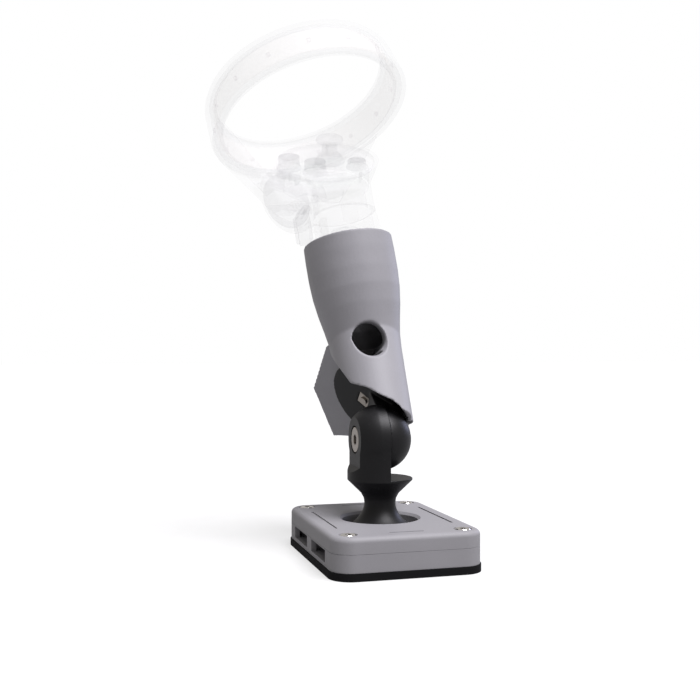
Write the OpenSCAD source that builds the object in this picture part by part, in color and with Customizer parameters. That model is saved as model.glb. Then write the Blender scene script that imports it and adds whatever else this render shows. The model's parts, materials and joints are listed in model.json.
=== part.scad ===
// Motion controller with a tracking ring, seated in a tilting cup on a strap-on base.
// Units mm. +Z up, front towards -Y. Origin: centre of the underside of the rubber pad.

/* [Base] */
// Width of the base shells (X)
base_w = 68.8; // [60:0.2:80]
// Depth of the base shells (Y)
base_d = 92.8; // [80:0.2:110]
// Top face height above the floor
base_top = 18.5; // [16:0.1:24]
// Parting line height
part_z = 11.2; // [9:0.1:13]
// Rubber pad thickness
pad_h = 3.4; // [2:0.1:5]
// Corner radius in plan
base_r = 9.6; // [4:0.1:16]
// Shell wall thickness
base_wall = 2.5; // [1.6:0.1:4]
// Radius of the round dish around the stem
dish_r = 18; // [16:0.1:20]
// Depth of that dish
dish_dep = 4.6; // [3:0.1:5]
// Strap slot length along Y
slot_len = 25.6; // [18:0.1:28]

/* [Stem] */
// Height of the lower pivot
piv_z = 55.4; // [50:0.1:62]
// Radius of the round lug
lug_r = 16.1; // [14:0.1:17]
// Flat on the left of the lug (X)
flat_x = -12.5; // [-14:0.1:-11]
// Mating flat between lug and elbow (X)
mate_x = 0.6; // [0:0.1:6]

/* [Elbow] */
// Radius of the upper disc
disc_r = 20.4; // [18:0.1:22]
// Thickness of the upper disc
disc_t = 6; // [5:0.1:8]
// Radius of the lower half-ball
ball_r = 14.8; // [13:0.1:16]

/* [Cup] */
// Rim centre X
rim_x = -5.1; // [-10:0.1:0]
// Rim centre Y
rim_y = 38.6; // [30:0.1:45]
// Rim centre height
rim_z = 152; // [140:0.5:165]
// Backward lean of the cup, degrees
lean_x = -12.7; // [-20:0.1:0]
// Sideways lean of the cup, degrees
lean_y = -6.5; // [-12:0.1:0]
// Rim outer radius
cup_r = 22.6; // [20:0.1:25]
// Outward flare of the hood over the elbow, degrees
hood_flare = 20; // [0:0.5:24]
// Hood outer radius
hood_r = 17.6; // [16:0.1:19]
// Access hole radius
hole_r = 8.0; // [6:0.1:10]

/* [Controller] */
// Handle radius
grip_r = 18.4; // [16:0.1:19]
// Face plate radius with its bezel
head_r = 27.5; // [24:0.1:30]
// Tilt of the face plate towards the thumb, degrees
face_tilt = 42.5; // [35:0.5:50]
// Tracking ring, lower outer radius
ring_ro = 52.2; // [48:0.1:56]
// Tracking ring, upper outer radius
ring_ro2 = 49.8; // [46:0.1:54]
// Tracking ring, lower inner radius
ring_ri = 45.4; // [42:0.1:49]
// Tracking ring, upper inner radius
ring_ri2 = 43.8; // [40:0.1:48]
// Tracking ring height
ring_h = 21.5; // [16:0.5:26]
// Thumb stick cap radius
cap_r = 7; // [6:0.1:9]
// Face button radius
btn_r = 5.4; // [4:0.1:6]

/* [Hidden] */
$fn = 64;
gap = 0.3;
view_turn = -15.8;
ax = [22.35, -121.3, 0];
disc_pos = [0.1, 27, 72.2];
stick_pos = [3.3, 2.5];
btn_a = [-18.2, 3];
btn_b = [-7.6, -7.4];
menu_pos = [14.8, -6.6];
menu_r = 4.6;
nut_a = 34;
screw_x = 26.3;
screw_y = 38.3;
black = [0.07, 0.07, 0.075];
grey = [0.62, 0.62, 0.64];
steel = [0.55, 0.54, 0.52];
chrome = [0.8, 0.8, 0.8];
white = [0.95, 0.95, 0.96, 0.35];
board = [0.1, 0.35, 0.2];
copper = [0.72, 0.45, 0.25];

// ---- frames ----
module at_rim() {
  translate([rim_x, rim_y, rim_z]) rotate([lean_x, lean_y, 0]) children();
}

module at_disc() {
  translate(disc_pos) rotate(ax) children();
}

module at_hood() {
  at_rim() translate([0, 0, -47]) rotate([-hood_flare, 5.9, 0]) children();
}

module at_plate() {
  at_rim() translate([-6.4, -7.3, 42.6]) rotate([face_tilt, -3.3, 0]) children();
}

module at_ring() {
  at_rim() translate([-11, -10, 63.8]) rotate([-11.85, -6.84, 0]) children();
}

module at_index() {
  at_rim() translate([-24, 17, 31]) rotate([0, 0, 30]) children();
}

module at_grip() {
  at_rim() translate([-19.4, 1.5, 18.6]) children();
}

module screw_spots() {
  for (sx = [-1, 1], sy = [-1, 1]) translate([sx * screw_x, sy * screw_y, 0]) children();
}

module un_disc() {
  rotate([-ax[0], 0, 0]) rotate([0, -ax[1], 0]) translate(-disc_pos) children();
}

// ---- shared shapes ----
module rounded(w, d, r) {
  square([w - 2 * r, d], center = true);
  square([w, d - 2 * r], center = true);
  for (sx = [-1, 1], sy = [-1, 1]) translate([sx * (w / 2 - r), sy * (d / 2 - r)]) circle(r);
}

module slab(w, d, r, h) {
  linear_extrude(h) rounded(w, d, r);
}

module edge_roll(w, d, r, f) {
  // plan-rounded slab whose top edge is rolled by radius f, built from exact shapes
  cx = w / 2 - r;
  cy = d / 2 - r;
  for (sx = [-1, 1], sy = [-1, 1]) translate([sx * cx, sy * cy, 0]) rotate_extrude() {
    translate([r - f, 0]) circle(f);
    translate([0, -f]) square([r - f, 2 * f]);
  }
  for (sx = [-1, 1]) translate([sx * (w / 2 - f), 0, 0]) rotate([90, 0, 0])
    cylinder(r = f, h = 2 * cy, center = true);
  for (sy = [-1, 1]) translate([0, sy * (d / 2 - f), 0]) rotate([0, 90, 0])
    cylinder(r = f, h = 2 * cx, center = true);
  translate([0, 0, -f]) slab(w - 2 * f, d - 2 * f, r - f, 2 * f);
}

module spring(r, wire, turns, h) {
  // stack of plain rings standing in for a coil
  for (i = [0 : turns - 1]) translate([0, 0, wire + i * (h - 2 * wire) / (turns - 1)])
    rotate_extrude() translate([r, 0]) circle(wire);
  for (a = [0, 180]) rotate([0, 0, a]) translate([r, 0, wire]) cylinder(r = wire * 0.8, h = h - 2 * wire);
}

// ---- base ----
module rubber_pad() {
  color(black) difference() {
    slab(base_w + 1, base_d + 1, base_r + 0.5, pad_h);
    for (y = [-36 : 12 : 36]) translate([0, y, -1]) slab(base_w - 12, 2.4, 1.1, 1.8);
  }
}

module base_bottom_shell() {
  z0 = pad_h + 0.02;
  color(black) difference() {
    union() {
      difference() {
        translate([0, 0, z0]) slab(base_w, base_d, base_r, part_z - z0);
        translate([0, 0, z0 + 1.6])
          slab(base_w - 2 * base_wall, base_d - 2 * base_wall, base_r - base_wall, 20);
      }
      intersection() {
        translate([0, 0, z0]) screw_spots() cylinder(r = 4.6, h = part_z - z0 - 0.05);
        translate([0, 0, z0]) slab(base_w, base_d, base_r, 20);
      }
      difference() {
        translate([0, 0, z0]) cylinder(r = 15.5, h = 3.2);
        translate([0, 0, z0 - 1]) cylinder(r = 13, h = 20);
      }
    }
    for (sx = [-1, 1], sy = [-1, 1]) translate([sx * base_w / 2, sy * 17, z0 + 1.8])
      translate([-4, -slot_len / 2, 0]) cube([8, slot_len, 5.4]);
    screw_spots() cylinder(r = 1.6, h = 30);
  }
}

module base_top_shell() {
  f = 2.4;
  z1 = part_z + 0.12;
  color(grey) difference() {
    union() {
      difference() {
        union() {
          translate([0, 0, z1]) slab(base_w, base_d, base_r, base_top - z1 - f);
          translate([0, 0, base_top - f]) edge_roll(base_w, base_d, base_r, f);
        }
        translate([0, 0, z1 - 1])
          slab(base_w - 2 * base_wall, base_d - 2 * base_wall, base_r - base_wall, base_top - z1 - 1.4);
      }
      translate([0, 0, z1 - 1.2]) cylinder(r = dish_r + 3, h = base_top - z1);
      intersection() {
        translate([0, 0, z1]) screw_spots() cylinder(r = 5.2, h = base_top - z1 - 1);
        translate([0, 0, z1]) slab(base_w, base_d, base_r, 20);
      }
    }
    translate([0, 0, base_top - dish_dep]) cylinder(r = dish_r, h = 20);
    translate([0, 0, base_top - 1.2]) cylinder(r1 = dish_r, r2 = dish_r + 1.3, h = 1.3);
    cylinder(r = 6.06, h = 60);
    screw_spots() cylinder(r = 1.9, h = 60);
    screw_spots() translate([0, 0, base_top - 2.2]) cylinder(r = 4.15, h = 20);
    for (sx = [-1, 1]) translate([sx * (base_w / 2 - 7), 0, base_top - 0.5]) slab(1.2, 46, 0.59, 5);
    for (sy = [-1, 1]) translate([0, sy * (base_d / 2 - 8), base_top - 0.5])
      rotate([0, 0, 90]) slab(1.2, 16, 0.59, 5);
  }
}

module base_screws() {
  color(chrome) screw_spots() difference() {
    union() {
      translate([0, 0, base_top - 2.15]) cylinder(r1 = 4.0, r2 = 3.9, h = 1.6);
      translate([0, 0, base_top - 0.6]) cylinder(r1 = 3.9, r2 = 3.1, h = 0.75);
      translate([0, 0, pad_h + 2.4]) cylinder(r = 1.55, h = base_top - pad_h - 4);
    }
    translate([0, 0, base_top - 1.4]) cylinder(r = 1.45, h = 3, $fn = 6);
  }
}

module swivel_bearing() {
  color(steel) translate([0, 0, 8.4]) difference() {
    cylinder(r = 12, h = 1.55);
    translate([0, 0, -1]) cylinder(r = 4.1, h = 5);
  }
}

module swivel_spring() {
  color(steel) translate([0, 0, 6.62]) difference() {
    union() {
      cylinder(r = 11, h = 0.7);
      translate([0, 0, 0.7]) cylinder(r1 = 7.5, r2 = 6.2, h = 1);
    }
    translate([0, 0, -1]) cylinder(r = 4.4, h = 5);
  }
}

module swivel_screw() {
  color(chrome) {
    translate([0, 0, 5.2]) cylinder(r = 6, h = 1.38);
    translate([0, 0, 6.5]) cylinder(r = 3.95, h = 5.9);
    translate([0, 0, 12.3]) cylinder(r = 2.49, h = 12);
  }
}

// ---- stem ----
module stem() {
  zf = base_top - dish_dep + 0.1;
  color(black) difference() {
    union() {
      intersection() {
        union() {
          rotate_extrude() polygon([[0, zf], [15.6, zf], [15.4, zf + 0.5], [13, 16], [11.3, 17.4],
            [10, 18.8], [8.9, 20.4], [8, 22.2], [7.5, 24], [7.4, 26], [7.7, 27.8], [9, 30.2],
            [15.4, 36.4], [15.4, piv_z], [0, piv_z]]);
          translate([0, 0, piv_z]) sphere(15.4);
          translate([0, 0, piv_z]) rotate([0, 90, 0]) intersection() {
            cylinder(r = lug_r, h = 60, center = true);
            sphere(lug_r + 0.4);
          }
        }
        union() {
          translate([flat_x, -30, 40]) cube([mate_x - flat_x, 60, 60]);
          translate([-30, -30, 0]) cube([60, 60, 37.3]);
          translate([-17, -30, 37.2]) cube([mate_x + 17, 60, 6]);
        }
      }
      translate([0, 0, 11]) cylinder(r = 6, h = 8);
    }
    rotate([90, 0, 0]) linear_extrude(60, center = true)
      polygon([[flat_x, 43], [flat_x, 50], [flat_x - 9, 50], [flat_x - 9, 34]]);
    translate([0, 0, piv_z]) rotate([0, 90, 0]) {
      cylinder(r = 3.05, h = 60, center = true);
      translate([0, 0, flat_x - 1]) cylinder(r = 6.5, h = 4.3);
    }
    translate([0, 0, 10]) cylinder(r = 3.96, h = 2.42);
    translate([0, 0, 10]) cylinder(r = 2.5, h = 14.5);
  }
}

module pivot_bolt() {
  color(steel) translate([0, 0, piv_z]) rotate([0, 90, 0]) difference() {
    union() {
      translate([0, 0, flat_x + 0.15]) cylinder(r = 5.9, h = 3);
      translate([0, 0, flat_x + 3]) cylinder(r = 3, h = 23.4);
    }
    translate([0, 0, flat_x - 1]) cylinder(r = 2.6, h = 3.6, $fn = 6);
  }
}

module pivot_nut() {
  color(steel) translate([0, 0, piv_z]) rotate([0, 90, 0]) difference() {
    translate([0, 0, 9.6]) cylinder(r = 5.7, h = 3.4, $fn = 6);
    translate([0, 0, 9]) cylinder(r = 3.0, h = 10);
  }
}

// ---- elbow ----
module arm(c) {
  // flat bar from the lower pivot up to the disc, grown by c
  translate([0, 0, piv_z]) rotate([-58, 0, 0])
    translate([mate_x + 0.4 - c, -8 - c, 0]) cube([12 + 2 * c, 17 + 2 * c, 28 + c]);
}

module elbow_link() {
  color(black) difference() {
    union() {
      at_disc() translate([0, 0, -disc_t]) cylinder(r = disc_r, h = disc_t);
      translate([0, 0, piv_z]) rotate([0, 90, 0]) rotate_extrude() intersection() {
        circle(ball_r);
        translate([3.1, mate_x + 0.15]) square([40, 40]);
      }
      difference() {
        arm(0);
        at_disc() translate([-60, -60, -disc_t + 0.2 - 80]) cube([120, 120, 80]);
      }
    }
    translate([0, 0, piv_z]) rotate([0, 90, 0]) {
      translate([0, 0, -1]) cylinder(r = 3.05, h = 25);
      translate([0, 0, 9.55]) cylinder(r = 6, h = 20, $fn = 6);
    }
    at_disc() {
      translate([0, 0, -20]) cylinder(r = 2.06, h = 30);
      rotate([0, 0, nut_a]) translate([-3.6, -3.6, -2.6]) cube([7.2, 7.2, 4.6]);
    }
  }
}

module square_nut() {
  color(steel) at_disc() difference() {
    rotate([0, 0, nut_a]) translate([-3.5, -3.5, -2.55]) cube([7, 7, 2.4]);
    translate([0, 0, -5]) cylinder(r = 2.0, h = 10);
  }
}

module cheek_screw() {
  color(steel) at_disc() difference() {
    union() {
      translate([0, 0, -17.5]) cylinder(r = 2.0, h = 18.4);
      translate([0, 0, -20.2]) cylinder(r = 3.9, h = 2.8);
    }
    translate([0, 0, -21]) cylinder(r = 1.7, h = 2.4, $fn = 6);
  }
}

// ---- cup ----
module cup_body() {
  at_rim() rotate_extrude() polygon([[0, 0], [cup_r, 0], [22.8, -8], [22.75, -18], [22.2, -27],
    [20.9, -36], [19.3, -44], [18.1, -51], [17.6, -58], [16.9, -96], [0, -96]]);
  at_hood() translate([0, 0, -52]) cylinder(r1 = hood_r - 2.2, r2 = hood_r, h = 52);
  intersection() {
    at_disc() translate([0, 0, -17]) cylinder(r = disc_r + 2.5, h = 17 - disc_t - gap);
    at_rim() translate([-2, 2, -110]) cylinder(r = 19.5, h = 60);
  }
  cheek_plate();
}

module cheek_plate() {
  // flat plate behind the disc, parallel to it, with its lower half sloped back
  at_disc() difference() {
    translate([0, 0, -disc_t - gap - 6]) linear_extrude(6)
      polygon([[32, 8], [31, 14], [12.2, 43.8], [-18.7, 57.2], [-21.2, 43.4], [-24, 10], [-20, -12], [20, -12]]);
    translate([11.9, 44, -disc_t - gap]) rotate([0, 0, -4.6]) rotate([0, -7, 0])
      translate([-80, -80, 0]) cube([80, 160, 20]);
  }
}

module hood_cut() {
  // everything in front of the clamp plane that is below the sloping edge of the hood
  difference() {
    union() {
      at_rim() translate([-60, 0, -140]) cube([56, 60, 81.6]);
      translate([rim_x, rim_y, rim_z]) rotate([0, 0, view_turn]) translate([0, 60, 0]) rotate([90, 0, 0])
        linear_extrude(160) polygon([[-11, -53.8], [1.6, -70.2], [9.1, -71.9], [16.1, -75.6], [21.1, -77.8],
          [24.6, -80.7], [27.2, -84.2], [28.2, -88.2], [40, -92], [40, -150], [-60, -150], [-60, -53.8]]);
    }
    at_disc() translate([-90, -90, -disc_t - gap - 80]) cube([180, 180, 80]);
  }
}

module disc_room() {
  // hollow between the hood and the clamp plane
  difference() {
    intersection() {
      union() {
        at_rim() translate([0, 0, -110]) cylinder(r = 14.9, h = 60);
        at_hood() translate([0, 0, -70]) cylinder(r1 = hood_r - 5.6, r2 = hood_r - 2.6, h = 70);
      }
      at_rim() translate([-60, -60, -130]) cube([120, 120, 71.5]);
    }
    at_disc() translate([-90, -90, -disc_t - gap - 80]) cube([180, 180, 80]);
  }
  at_disc() translate([0, 0, -disc_t - gap]) cylinder(r = disc_r + 0.5, h = disc_t + gap + 0.5);
}

module cup() {
  color(grey) difference() {
    cup_body();
    at_rim() {
      rotate_extrude() polygon([[0, 5], [cup_r - 1.8, 5], [cup_r - 1.8, -0.5], [20.9, -8], [20.6, -20],
        [18.7, -26], [16.6, -34], [14.4, -44], [13.8, -56], [0, -56]]);
      translate([-3, 0, -54]) rotate([90, 0, 0]) cylinder(r = hole_r, h = 40);
      translate([-3, -17.6, -54]) rotate([90, 0, 0]) cylinder(r1 = hole_r - 0.2, r2 = hole_r + 2.6, h = 6.5);
    }
    hood_cut();
    disc_room();
    for (a = [-5, 0, 5]) at_disc() rotate([0, 0, a]) un_disc() arm(0.6);
    at_disc() {
      translate([0, 0, -60]) cylinder(r = 2.06, h = 80);
      translate([0, 0, -60]) cylinder(r = 4.3, h = 60 - 17.3);
    }
  }
}

// ---- controller shells ----
module handle_shell() {
  color(white) at_rim() difference() {
    translate([-0.6, 0, 0]) rotate_extrude() polygon([[0, -35], [14, -35], [15.6, -33.6], [17.9, -25.6],
      [grip_r, -18], [grip_r, 8], [17.6, 15], [15.6, 15], [15.6, 8], [16.2, -18], [15.7, -25],
      [13.6, -32], [0, -32]]);
    translate([-30, -6, -2]) cube([20, 13, 40]);
  }
}

module head_solid() {
  at_plate() translate([0, 0, -18]) cylinder(r1 = 21, r2 = head_r, h = 18);
  at_rim() translate([-0.6, 0, 15.2]) cylinder(r = 17.6, h = 15);
  difference() {
    at_ring() rotate([0, 0, 20]) rotate_extrude(angle = 172)
      polygon([[ring_ro - 0.6, -0.3], [ring_ro - 21, -48], [12, -48], [14, -31], [ring_ro - 16.6, -28],
        [ring_ro - 5, -0.3]]);
    at_ring() translate([42, -100, 0]) rotate([0, 45, 0]) translate([0, 0, -100]) cube([100, 200, 200]);
    at_rim() translate([0, 0, -84.8]) cylinder(r = 80, h = 100);
  }
  difference() {
    at_index() translate([0, -12, 0]) rotate([-90, 0, 0]) cylinder(r = 18.4, h = 11);
    at_rim() translate([-0.6, 0, -10]) cylinder(r = 18.6, h = 25.2);
  }
}

module head_shell() {
  color(white) difference() {
    head_solid();
    at_plate() translate([0, 0, -2.6]) cylinder(r = head_r - 2.4, h = 40);
    at_plate() translate([0, 0, -14.5]) cylinder(r = head_r - 5, h = 20);
    at_rim() translate([-0.6, 0, 10]) cylinder(r = 14, h = 17);
    at_index() {
      translate([0, -9, 0]) rotate([-90, 0, 0]) cylinder(r = 15.6, h = 40);
      translate([0, -5, 11]) rotate([0, 90, 0]) cylinder(r = 1.22, h = 28.2, center = true);
    }
    at_grip() {
      translate([-20, -6.1, -40]) cube([22.7, 12.2, 42.9]);
      rotate([90, 0, 0]) cylinder(r = 0.82, h = 15.2, center = true);
    }
    at_plate() translate([btn_a[0], btn_a[1], -6.3]) cylinder(r = btn_r + 1.2, h = 8);
    at_plate() for (a = [70, 205, 300]) rotate([0, 0, a]) translate([23.7, 0, -6])
      cylinder(r = 0.88, h = 10);
  }
}

module face_plate() {
  color(white) at_plate() difference() {
    translate([0, 0, -2.5]) cylinder(r = head_r - 2.45, h = 2.4);
    translate([stick_pos[0], stick_pos[1], -5]) cylinder(r = 8.4, h = 10);
    translate([btn_a[0], btn_a[1], -5]) cylinder(r = btn_r + 0.06, h = 10);
    translate([btn_b[0], btn_b[1], -5]) cylinder(r = btn_r + 0.06, h = 10);
    translate([menu_pos[0], menu_pos[1], -5]) cylinder(r = menu_r + 0.06, h = 10);
    for (a = [70, 205, 300]) rotate([0, 0, a]) translate([23.7, 0, -5]) cylinder(r = 0.9, h = 10);
  }
}

// ---- tracking ring ----
module ring_shell() {
  color(white) at_ring() rotate_extrude($fn = 128) difference() {
    union() {
      polygon([[ring_ri, 1.2], [ring_ri + 1.4, 0], [ring_ro - 1.4, 0], [ring_ro, 1.4],
        [ring_ro2 + 0.7, ring_h - 4], [ring_ro2 - 1, ring_h - 1], [ring_ro2 - 2.4, ring_h],
        [ring_ri2 + 1.4, ring_h], [ring_ri2, ring_h - 1.2]]);
    }
    polygon([[ring_ri - 2, 2.2], [ring_ro - 2, 2.2], [ring_ro2 - 2, ring_h - 2.6], [ring_ri2 - 2, ring_h - 2.6]]);
  }
}

module ring_window() {
  color(white) at_ring() rotate_extrude($fn = 128)
    polygon([[ring_ri + 0.1, 2.35], [ring_ri + 1.7, 2.35], [ring_ri2 + 1.9, ring_h - 2.75],
      [ring_ri2 + 0.3, ring_h - 2.75]]);
}

module led_flex() {
  color(copper) at_ring() rotate_extrude($fn = 96)
    polygon([[ring_ri + 2.2, 4], [ring_ri + 2.6, 4], [ring_ri2 + 2.9, ring_h - 4.4],
      [ring_ri2 + 2.5, ring_h - 4.4]]);
}

module leds() {
  color([0.2, 0.15, 0.2]) at_ring() for (a = [0 : 24 : 359]) rotate([0, 0, a])
    translate([ring_ri + 2.25, 0, 10]) translate([0, -1, -1]) cube([1.2, 2, 2]);
}

// ---- buttons and stick ----
module key(p, r, top) {
  at_plate() translate([p[0], p[1], 0]) {
    translate([0, 0, -2.6]) cylinder(r = r, h = 2.6 + top - 0.6);
    translate([0, 0, top - 0.61]) cylinder(r1 = r, r2 = r - 0.7, h = 0.6);
    translate([0, 0, -3.5]) cylinder(r = r + 0.9, h = 0.95);
  }
}

module button_a() {
  color(grey) key(btn_a, btn_r, 3.2);
}

module button_b() {
  color(grey) key(btn_b, btn_r, 3.2);
}

module menu_button() {
  color(grey) key(menu_pos, menu_r, 0.9);
}

module switch_domes() {
  color(black) at_plate() for (p = [btn_a, btn_b, menu_pos]) translate([p[0], p[1], -6.3]) {
    translate([-2.2, -2.2, 0]) cube([4.4, 4.4, 0.9]);
    translate([0, 0, 0.85]) cylinder(r1 = 1.8, r2 = 1.1, h = 0.5);
  }
}

module stick_cap() {
  color(grey) at_plate() translate([stick_pos[0], stick_pos[1], -4]) {
    intersection() {
      sphere(7.9);
      translate([-20, -20, 1.6]) cube([40, 40, 20]);
    }
    translate([0, 0, 7]) cylinder(r1 = 4.2, r2 = 3.5, h = 5);
    translate([0, 0, 11.8]) rotate_extrude() polygon([[0, 0], [5.4, 0], [6.6, 0.5], [cap_r, 1.4],
      [6.8, 2.5], [6, 3.1], [4.6, 3.2], [2.4, 2.5], [0, 2.2]]);
  }
}

module stick_gimbal() {
  color(steel) at_plate() translate([stick_pos[0], stick_pos[1], -4]) difference() {
    translate([-3, -3, -3.4]) cube([6, 6, 3.6]);
    translate([-1.6, -4, -2]) cube([3.2, 8, 1.4]);
  }
}

module stick_housing() {
  color(black) at_plate() translate([stick_pos[0], stick_pos[1], -13.2]) difference() {
    translate([-7, -7, 0]) cube([14, 14, 6.6]);
    translate([-5.6, -5.6, 1]) cube([11.2, 11.2, 10]);
  }
}

module main_board() {
  color(board) at_plate() difference() {
    translate([0, 0, -7.5]) cylinder(r = 21, h = 1.15);
    translate([stick_pos[0] - 7.2, stick_pos[1] - 7.2, -10]) cube([14.4, 14.4, 10]);
  }
}

// ---- inside the handle ----
module battery_cell() {
  color(steel) at_rim() translate([-0.6, 0, -29]) {
    cylinder(r = 7.1, h = 36);
    translate([0, 0, 35.9]) cylinder(r = 2.6, h = 1.2);
  }
}

module battery_tray() {
  color(black) at_rim() difference() {
    union() {
      translate([-0.6, 0, -31.9]) cylinder(r = 9, h = 12);
      translate([-0.6, 0, -31.9]) cylinder(r = 12.5, h = 2);
      translate([-12.2, -1.5, -27]) cube([3, 6, 41]);
    }
    translate([-0.6, 0, -29.1]) cylinder(r = 7.2, h = 60);
  }
}

module haptic_motor() {
  color(steel) at_rim() translate([3.5, -2, 11]) {
    cylinder(r = 4.2, h = 9);
    translate([0, 0, -1.6]) cylinder(r = 1.1, h = 2);
  }
}

// ---- triggers ----
module index_trigger() {
  color(grey) at_index() difference() {
    union() {
      translate([0, -2, 0]) rotate([-90, 0, 0]) {
        cylinder(r = 14.6, h = 3.2);
        translate([0, 0, 3.1]) cylinder(r1 = 14.6, r2 = 12, h = 2.2);
      }
      translate([-6, -5, 8.4]) cube([12, 4, 5.2]);
      translate([0, -5, 11]) rotate([0, 90, 0]) cylinder(r = 2.6, h = 12, center = true);
    }
    translate([0, -5, 11]) rotate([0, 90, 0]) cylinder(r = 1.25, h = 40, center = true);
  }
}

module index_pin() {
  color(steel) at_index() translate([0, -5, 11]) rotate([0, 90, 0]) cylinder(r = 1.2, h = 28, center = true);
}

module index_spring() {
  color(steel) at_index() translate([0, -8.9, -5]) rotate([-90, 0, 0]) spring(2.6, 0.35, 4, 6.8);
}

module grip_trigger() {
  color(grey) at_grip() difference() {
    union() {
      rotate([90, 0, 0]) cylinder(r = 2.2, h = 11, center = true);
      translate([-3.9, -5.5, -16]) cube([5, 11, 16]);
      translate([-3.4, 0, -16]) cylinder(r = 3.2, h = 13);
    }
    rotate([90, 0, 0]) cylinder(r = 0.86, h = 40, center = true);
  }
}

module grip_pin() {
  color(steel) at_grip() rotate([90, 0, 0]) cylinder(r = 0.8, h = 15, center = true);
}

module grip_spring() {
  color(steel) at_grip() translate([1.2, 0, -9]) rotate([0, 90, 0]) spring(2, 0.3, 4, 5.9);
}

module head_screws() {
  color(chrome) at_plate() for (a = [70, 205, 300]) rotate([0, 0, a]) translate([23.7, 0, 0]) {
    translate([0, 0, -4.4]) cylinder(r = 0.85, h = 4.5);
    translate([0, 0, -0.08]) cylinder(r = 1.3, h = 0.4);
  }
}

rubber_pad();
base_bottom_shell();
base_top_shell();
base_screws();
swivel_bearing();
swivel_spring();
swivel_screw();
stem();
pivot_bolt();
pivot_nut();
elbow_link();
square_nut();
cup();
cheek_screw();
handle_shell();
head_shell();
face_plate();
ring_shell();
ring_window();
led_flex();
leds();
button_a();
button_b();
menu_button();
switch_domes();
stick_cap();
stick_gimbal();
stick_housing();
main_board();
battery_cell();
battery_tray();
haptic_motor();
index_trigger();
index_pin();
index_spring();
grip_trigger();
grip_pin();
grip_spring();
head_screws();
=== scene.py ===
import json
import math

import bmesh
import bpy
from mathutils import Euler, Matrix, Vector

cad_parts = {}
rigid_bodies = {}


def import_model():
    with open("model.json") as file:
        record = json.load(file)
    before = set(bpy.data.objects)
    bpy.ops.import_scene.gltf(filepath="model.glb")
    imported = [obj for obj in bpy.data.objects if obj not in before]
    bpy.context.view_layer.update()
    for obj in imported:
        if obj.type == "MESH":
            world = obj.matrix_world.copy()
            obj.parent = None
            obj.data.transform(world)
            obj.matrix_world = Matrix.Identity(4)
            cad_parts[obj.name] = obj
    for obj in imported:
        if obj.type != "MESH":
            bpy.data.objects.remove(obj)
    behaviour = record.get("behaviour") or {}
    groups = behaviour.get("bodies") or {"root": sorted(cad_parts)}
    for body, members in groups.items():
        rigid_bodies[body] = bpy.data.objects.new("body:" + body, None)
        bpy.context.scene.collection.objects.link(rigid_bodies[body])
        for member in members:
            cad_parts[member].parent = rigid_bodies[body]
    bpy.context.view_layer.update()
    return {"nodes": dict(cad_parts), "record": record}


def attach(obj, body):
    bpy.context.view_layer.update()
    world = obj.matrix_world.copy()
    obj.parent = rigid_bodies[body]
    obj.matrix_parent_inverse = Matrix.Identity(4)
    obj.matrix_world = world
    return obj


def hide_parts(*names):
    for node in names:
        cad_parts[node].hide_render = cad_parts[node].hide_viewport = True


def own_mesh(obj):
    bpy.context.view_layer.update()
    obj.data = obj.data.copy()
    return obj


MM = 0.001
WHITE = (1, 1, 1, 1)

# ---------------------------------------------------------------- start clean
for ob in list(bpy.data.objects):
    bpy.data.objects.remove(ob)
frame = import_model()
nodes = frame["nodes"]
BODY = {n: b for b, ns in frame["record"]["behaviour"]["bodies"].items() for n in ns}
SLOT = {s["node"]: s["material_slot"] for s in frame["record"]["subparts"]}


# ---------------------------------------------------------------- shader helpers
def new_material(name):
    mat = bpy.data.materials.new(name)
    mat.use_nodes = True
    nt = mat.node_tree
    return mat, nt, nt.nodes["Principled BSDF"]


def noise(nt, scale, detail=3.0, rough=0.5, location=(0, 0, 0), stretch=(1, 1, 1)):
    """Noise in the object's own coordinates."""
    coords = nt.nodes.new("ShaderNodeTexCoord")
    mapping = nt.nodes.new("ShaderNodeMapping")
    mapping.inputs["Location"].default_value = location
    mapping.inputs["Scale"].default_value = stretch
    tex = nt.nodes.new("ShaderNodeTexNoise")
    tex.inputs["Scale"].default_value = scale
    tex.inputs["Detail"].default_value = detail
    tex.inputs["Roughness"].default_value = rough
    nt.links.new(coords.outputs["Object"], mapping.inputs["Vector"])
    nt.links.new(mapping.outputs["Vector"], tex.inputs["Vector"])
    return tex.outputs["Fac"]


def grain(nt, scale, detail=3.0, seed=0.0, rough=0.6):
    return noise(nt, scale, detail, rough, (seed, seed * 0.7, -seed))


def ramp(nt, fac, low, high, start=0.3, end=0.7):
    node = nt.nodes.new("ShaderNodeValToRGB")
    first, last = node.color_ramp.elements[0], node.color_ramp.elements[1]
    first.position, last.position = start, end
    first.color, last.color = low, high
    nt.links.new(fac, node.inputs["Fac"])
    return node.outputs["Color"]


def shade_range(nt, fac, colour, spread):
    """A colour that varies by a share of itself, either way."""
    low = tuple(c * (1 - spread) for c in colour) + (1,)
    high = tuple(min(1, c * (1 + spread)) for c in colour) + (1,)
    return ramp(nt, fac, low, high)


def scalar_map(nt, fac, low, high):
    node = nt.nodes.new("ShaderNodeMapRange")
    node.inputs["To Min"].default_value = low
    node.inputs["To Max"].default_value = high
    nt.links.new(fac, node.inputs["Value"])
    return node.outputs["Result"]


def math_node(nt, operation, values):
    """A maths node whose inputs are numbers or sockets."""
    node = nt.nodes.new("ShaderNodeMath")
    node.operation = operation
    for socket, value in zip(node.inputs, values):
        if isinstance(value, float):
            socket.default_value = value
        else:
            nt.links.new(value, socket)
    return node.outputs["Value"]


def bump(nt, bsdf, fac, strength, depth):
    node = nt.nodes.new("ShaderNodeBump")
    node.inputs["Strength"].default_value = strength
    node.inputs["Distance"].default_value = depth
    nt.links.new(fac, node.inputs["Height"])
    nt.links.new(node.outputs["Normal"], bsdf.inputs["Normal"])


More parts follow.
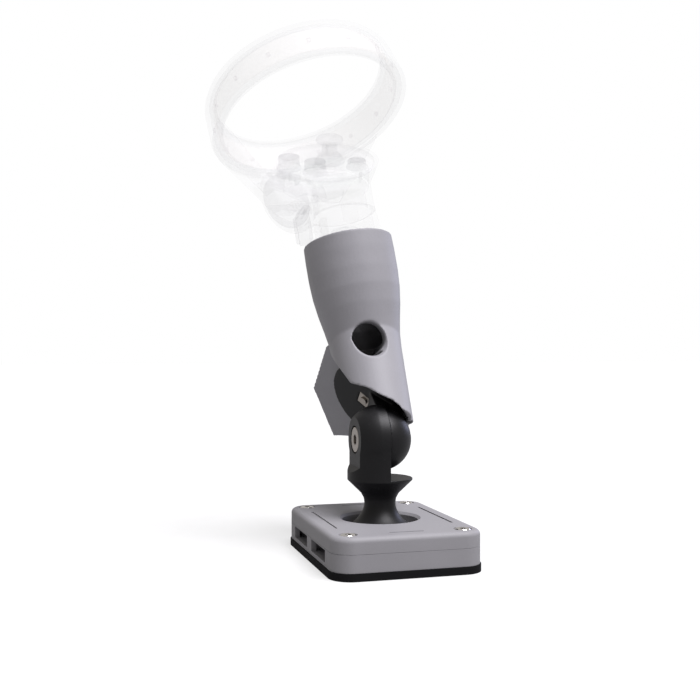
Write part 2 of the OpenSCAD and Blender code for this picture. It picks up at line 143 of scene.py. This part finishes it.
def painted_pocket_shade(nt, colour):
    """Paints shade into a colour where the surface sees little sky, such as inside the cup."""
    reach = 30 * MM
    sky = nt.nodes.new("ShaderNodeAmbientOcclusion")
    sky.samples = 8
    sky.inputs["Distance"].default_value = reach
    # painted shade: the colour goes towards black where little sky reaches
    painted_shade = ramp(nt, sky.outputs["AO"], (0.12, 0.12, 0.12, 1), WHITE, 0.15, 0.6)
    mix = nt.nodes.new("ShaderNodeMix")
    mix.data_type = "RGBA"
    mix.blend_type = "MULTIPLY"
    # this node shares its socket names between data types, so its colour sockets go by number
    factor, first, second, result = mix.inputs[0], mix.inputs[6], mix.inputs[7], mix.outputs[2]
    factor.default_value = 1.0
    nt.links.new(colour, first)
    nt.links.new(painted_shade, second)
    return result


# ---------------------------------------------------------------- materials
def plastic(name, colour, spread, rough, fine, bumps, specular, seed=0.0, with_painted_shade=False):
    """Moulded plastic or rubber: broad and fine grain in colour, roughness and bump."""
    mat, nt, bsdf = new_material(name)
    broad_grain = grain(nt, 40.0, 4.0, seed)
    fine_grain = grain(nt, fine, 2.0, seed + 3.1, 0.7)
    half = math_node(nt, "MULTIPLY", (fine_grain, 0.5))
    both = math_node(nt, "MULTIPLY_ADD", (broad_grain, 0.5, half))
    tint = shade_range(nt, both, colour, spread)
    # painted shade in hollows, darker where less sky reaches
    if with_painted_shade:
        tint = painted_pocket_shade(nt, tint)
    nt.links.new(tint, bsdf.inputs["Base Color"])
    nt.links.new(scalar_map(nt, broad_grain, *rough), bsdf.inputs["Roughness"])
    bump(nt, bsdf, fine_grain, bumps, 0.1 * MM)
    bsdf.inputs["Specular IOR Level"].default_value = specular
    return mat


def ghost(name, colour, spread, rough, fine, bumps, specular, seed, alpha, painted_glow=0.0):
    """A nearly clear plastic, with faint painted light: a white emission so that stacked layers stay light.
    """
    mat = plastic(name, colour, spread, rough, fine, bumps, specular, seed)
    bsdf = mat.node_tree.nodes["Principled BSDF"]
    bsdf.inputs["Alpha"].default_value = alpha
    # painted light: a faint white emission, though no clear part is a lamp
    bsdf.inputs["Emission Color"].default_value = WHITE
    bsdf.inputs["Emission Strength"].default_value = painted_glow
    return mat


def brushed(name, colour, spread, rough, stretch, seed, bumps):
    """Metal with grain drawn out along one axis."""
    mat, nt, bsdf = new_material(name)
    lines = noise(nt, 300.0, 4.0, 0.5, (seed, seed, seed), stretch)
    nt.links.new(shade_range(nt, lines, colour, spread), bsdf.inputs["Base Color"])
    nt.links.new(scalar_map(nt, lines, *rough), bsdf.inputs["Roughness"])
    bump(nt, bsdf, lines, bumps, 0.05 * MM)
    bsdf.inputs["Metallic"].default_value = 1.0
    return mat


# solid plastics: name, colour, spread, roughness, grain, bump, specular, seed
# metals: name, colour, spread, roughness, stretch, seed, bump
# clear ones, as solid plastics and then: alpha, painted emission strength
MAT = {
    "rubber": plastic("rubber_black", (0.0045, 0.0045, 0.0052), 0.25, (0.75, 0.9), 1400, 0.25, 0.12),
    "black_plastic": plastic("plastic_black", (0.0062, 0.0062, 0.007), 0.2, (0.38, 0.5), 3000, 0.1, 0.22, 2),
    # the cup's grey carries painted shade inside its hollow
    "grey_plastic": plastic("plastic_grey", (0.235, 0.232, 0.25), 0.08, (0.48, 0.62), 2800, 0.22, 0.3, 5,
                            with_painted_shade=True),
    "base_grey": plastic("plastic_base", (0.215, 0.212, 0.225), 0.06, (0.5, 0.62), 2800, 0.16, 0.25, 6),
    "chrome": brushed("screw_chrome", (0.72, 0.7, 0.68), 0.08, (0.08, 0.2), (1, 1, 1), 1.0, 0.03),
    "steel": brushed("steel_warm", (0.36, 0.33, 0.3), 0.15, (0.3, 0.45), (1, 1, 30), 2.0, 0.08),
    "clear_white": ghost("frosted_white", (0.5, 0.5, 0.52), 0.03, (0.45, 0.6), 2200, 0.05, 0.25, 9,
                         0.06, 0.15),
    "clear_grey": ghost("frosted_grey", (0.34, 0.34, 0.37), 0.05, (0.4, 0.55), 2200, 0.05, 0.25, 10,
                        0.08, 0.05),
    "clear_handle": ghost("frosted_handle", (0.6, 0.6, 0.62), 0.03, (0.45, 0.6), 2200, 0.05, 0.25, 18,
                          0.05, 0.1),
    "inner_black": ghost("inner_dark", (0.5, 0.5, 0.52), 0.1, (0.5, 0.7), 1800, 0.1, 0.2, 11, 0.025, 0.1),
    "board": ghost("board_green", (0.6, 0.72, 0.64), 0.15, (0.4, 0.6), 900, 0.05, 0.2, 12, 0.025, 0.1),
    "copper": ghost("flex_copper", (0.85, 0.74, 0.66), 0.1, (0.3, 0.5), 900, 0.05, 0.3, 13, 0.03, 0.1),
    "led": ghost("led_dark", (0.5, 0.46, 0.5), 0.1, (0.2, 0.3), 900, 0.02, 0.3, 14, 0.08, 0.05),
    "cell": ghost("cell_wrap", (0.3, 0.34, 0.4), 0.1, (0.3, 0.5), 900, 0.02, 0.3, 15, 0.035),
    "inner_steel": ghost("inner_steel", (0.75, 0.74, 0.72), 0.1, (0.3, 0.45), 900, 0.03, 0.3, 16, 0.035, 0.1),
    "tray": ghost("tray_dark", (0.1, 0.1, 0.11), 0.1, (0.5, 0.7), 1800, 0.1, 0.2, 17, 0.03),
}
# nodes whose look differs from their slot's usual material
SPECIAL = {
    "battery_tray": "tray",
    "handle_shell": "clear_handle",
    "base_top_shell": "base_grey",
    "base_bottom_shell": "base_grey",
}
for name in ("stick_gimbal", "haptic_motor", "index_pin", "index_spring", "grip_pin", "grip_spring",
             "head_screws"):
    SPECIAL[name] = "inner_steel"


# ---------------------------------------------------------------- mesh helpers
def mesh_copy(n):
    """The node's CAD mesh with flat faces merged, as a new object."""
    me = nodes[n].data.copy()
    me.materials.clear()
    bm = bmesh.new()
    bm.from_mesh(me)
    bmesh.ops.remove_doubles(bm, verts=bm.verts, dist=0.001 * MM)
    bmesh.ops.dissolve_limit(bm, angle_limit=math.radians(0.6), verts=bm.verts, edges=bm.edges)
    bmesh.ops.recalc_face_normals(bm, faces=bm.faces)
    new = bpy.data.meshes.new(n + "_fine")
    bm.to_mesh(new)
    bm.free()
    ob = bpy.data.objects.new(n + "_fine", new)
    bpy.context.scene.collection.objects.link(ob)
    return ob


def smooth(me, angle):
    """Smooth shading, with edges sharper than the angle kept crisp."""
    bm = bmesh.new()
    bm.from_mesh(me)
    for e in bm.edges:
        e.smooth = not (len(e.link_faces) == 2 and e.calc_face_angle(0.0) > angle)
    for f in bm.faces:
        f.smooth = True
    bm.to_mesh(me)
    bm.free()


def finish_piece(ob, n):
    ob.data.materials.clear()
    ob.data.materials.append(MAT[SPECIAL.get(n, SLOT[n])])
    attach(ob, BODY[n])
    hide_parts(n)


def refined(n, bevel):
    """A crisp piece with small bevels, in mm."""
    sharp = math.radians(32)
    ob = mesh_copy(n)
    smooth(ob.data, sharp)
    if bevel:
        md = ob.modifiers.new("edge", "BEVEL")
        md.width = bevel * MM
        md.segments = 2
        md.limit_method = "ANGLE"
        md.angle_limit = sharp
        md.harden_normals = True
        md.use_clamp_overlap = True
    finish_piece(ob, n)
    return ob


def apply_mods(ob):
    dg = bpy.context.evaluated_depsgraph_get()
    me = bpy.data.meshes.new_from_object(ob.evaluated_get(dg))
    ob.modifiers.clear()
    ob.data = me


def softened(n, voxel, rounds):
    """A moulded piece: remeshed in voxels, in mm, and relaxed so that its parts blend."""
    ob = mesh_copy(n)
    md = ob.modifiers.new("voxel", "REMESH")
    md.mode = "VOXEL"
    md.voxel_size = voxel * MM
    md.use_smooth_shade = True
    md = ob.modifiers.new("relax", "SMOOTH")
    md.factor = 0.5
    md.iterations = rounds
    apply_mods(ob)
    for p in ob.data.polygons:
        p.use_smooth = True
    finish_piece(ob, n)


# ---------------------------------------------------------------- pieces
made = {}
softened("cup", 0.55, 5)
softened("elbow_link", 0.5, 3)
for name, bevel in (
    ("rubber_pad", 0.6), ("base_bottom_shell", 0.25), ("base_top_shell", 0.3), ("base_screws", 0.12),
    ("stem", 0.35), ("pivot_bolt", 0.2), ("pivot_nut", 0.2), ("square_nut", 0.2), ("cheek_screw", 0.15),
    ("swivel_bearing", 0.15), ("swivel_spring", 0.1), ("swivel_screw", 0.15),
    ("handle_shell", 0.3), ("head_shell", 0.5), ("face_plate", 0.2), ("ring_shell", 0.5),
    ("ring_window", 0.1), ("led_flex", 0.0), ("leds", 0.15), ("button_a", 0.3), ("button_b", 0.3),
    ("menu_button", 0.2), ("switch_domes", 0.1), ("stick_cap", 0.25), ("stick_gimbal", 0.2),
    ("stick_housing", 0.2), ("main_board", 0.1), ("battery_cell", 0.4), ("battery_tray", 0.2),
    ("haptic_motor", 0.3), ("index_trigger", 0.5), ("index_pin", 0.1), ("index_spring", 0.0),
    ("grip_trigger", 0.5), ("grip_pin", 0.1), ("grip_spring", 0.0), ("head_screws", 0.1),
):
    made[name] = refined(name, bevel)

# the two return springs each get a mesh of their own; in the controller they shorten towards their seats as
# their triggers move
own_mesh(made["index_spring"])
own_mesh(made["grip_spring"])


# ---------------------------------------------------------------- floor
def make_floor(half_side=6.0, drop=0.02 * MM):
    """A white sheet that looks evenly lit, but throws less light than it shows."""
    bm = bmesh.new()
    bmesh.ops.create_grid(bm, x_segments=8, y_segments=8, size=half_side)
    me = bpy.data.meshes.new("floor")
    bm.to_mesh(me)
    bm.free()
    ob = bpy.data.objects.new("floor", me)
    ob.location = (0, 0, -drop)
    bpy.context.scene.collection.objects.link(ob)
    mat, nt, bsdf = new_material("floor_white")
    tint = ramp(nt, grain(nt, 30.0), (0.2, 0.2, 0.2, 1), (0.22, 0.22, 0.22, 1))
    nt.links.new(tint, bsdf.inputs["Base Color"])
    bsdf.inputs["Roughness"].default_value = 0.95
    bsdf.inputs["Specular IOR Level"].default_value = 0.0
    bsdf.inputs["Emission Color"].default_value = WHITE
    path = nt.nodes.new("ShaderNodeLightPath")
    level = scalar_map(nt, path.outputs["Is Camera Ray"], 0.2, 0.64)
    nt.links.new(level, bsdf.inputs["Emission Strength"])
    me.materials.append(mat)
    return ob


floor = make_floor()


# ---------------------------------------------------------------- light
def make_world():
    """White backdrop to the camera, a dimmer and warmer sky for the light itself."""
    world = bpy.data.worlds.new("studio")
    bpy.context.scene.world = world
    world.use_nodes = True
    wt = world.node_tree
    sky = wt.nodes["Background"]
    sky.inputs["Color"].default_value = (1.0, 0.965, 0.93, 1)
    sky.inputs["Strength"].default_value = 0.5
    seen = wt.nodes.new("ShaderNodeBackground")
    seen.inputs["Color"].default_value = WHITE
    seen.inputs["Strength"].default_value = 1.0
    path = wt.nodes.new("ShaderNodeLightPath")
    pick = wt.nodes.new("ShaderNodeMixShader")
    wt.links.new(path.outputs["Is Camera Ray"], pick.inputs["Fac"])
    wt.links.new(sky.outputs["Background"], pick.inputs[1])
    wt.links.new(seen.outputs["Background"], pick.inputs[2])
    wt.links.new(pick.outputs["Shader"], wt.nodes["World Output"].inputs["Surface"])


def aim(name, light, place, target, power, colour):
    light.energy = power
    light.color = colour
    ob = bpy.data.objects.new(name, light)
    ob.location = place
    ob.rotation_euler = (Vector(target) - Vector(place)).to_track_quat("-Z", "Y").to_euler()
    bpy.context.scene.collection.objects.link(ob)


make_world()
key = bpy.data.lights.new("key", "SUN")
key.angle = math.radians(38)
aim("key", key, (0.27, -0.36, 0.93), (0, 0, 0), 5.6, (0.97, 0.955, 1.0))
edge = bpy.data.lights.new("edge", "AREA")
edge.size = 0.2
aim("edge", edge, (0.6, 0.32, 0.25), (0, 0.03, 0.12), 0.7, (0.62, 0.66, 1.0))

# ---------------------------------------------------------------- camera
cam = bpy.data.cameras.new("cam")
cam.lens = 50.0
cam.sensor_width = 36.0
cam.clip_end = 50
turn = math.radians(15.768)
co = bpy.data.objects.new("cam", cam)
bpy.context.scene.collection.objects.link(co)
co.location = (-0.13849, -0.43847, 0.09745)
co.rotation_euler = Euler((math.radians(90), 0, -turn), "XYZ")
scene = bpy.context.scene
scene.camera = co
scene.view_settings.view_transform = "Standard"
scene.view_settings.look = "None"
# the clear shells and what is in them stack up many layers deep
scene.cycles.transparent_max_bounces = 96
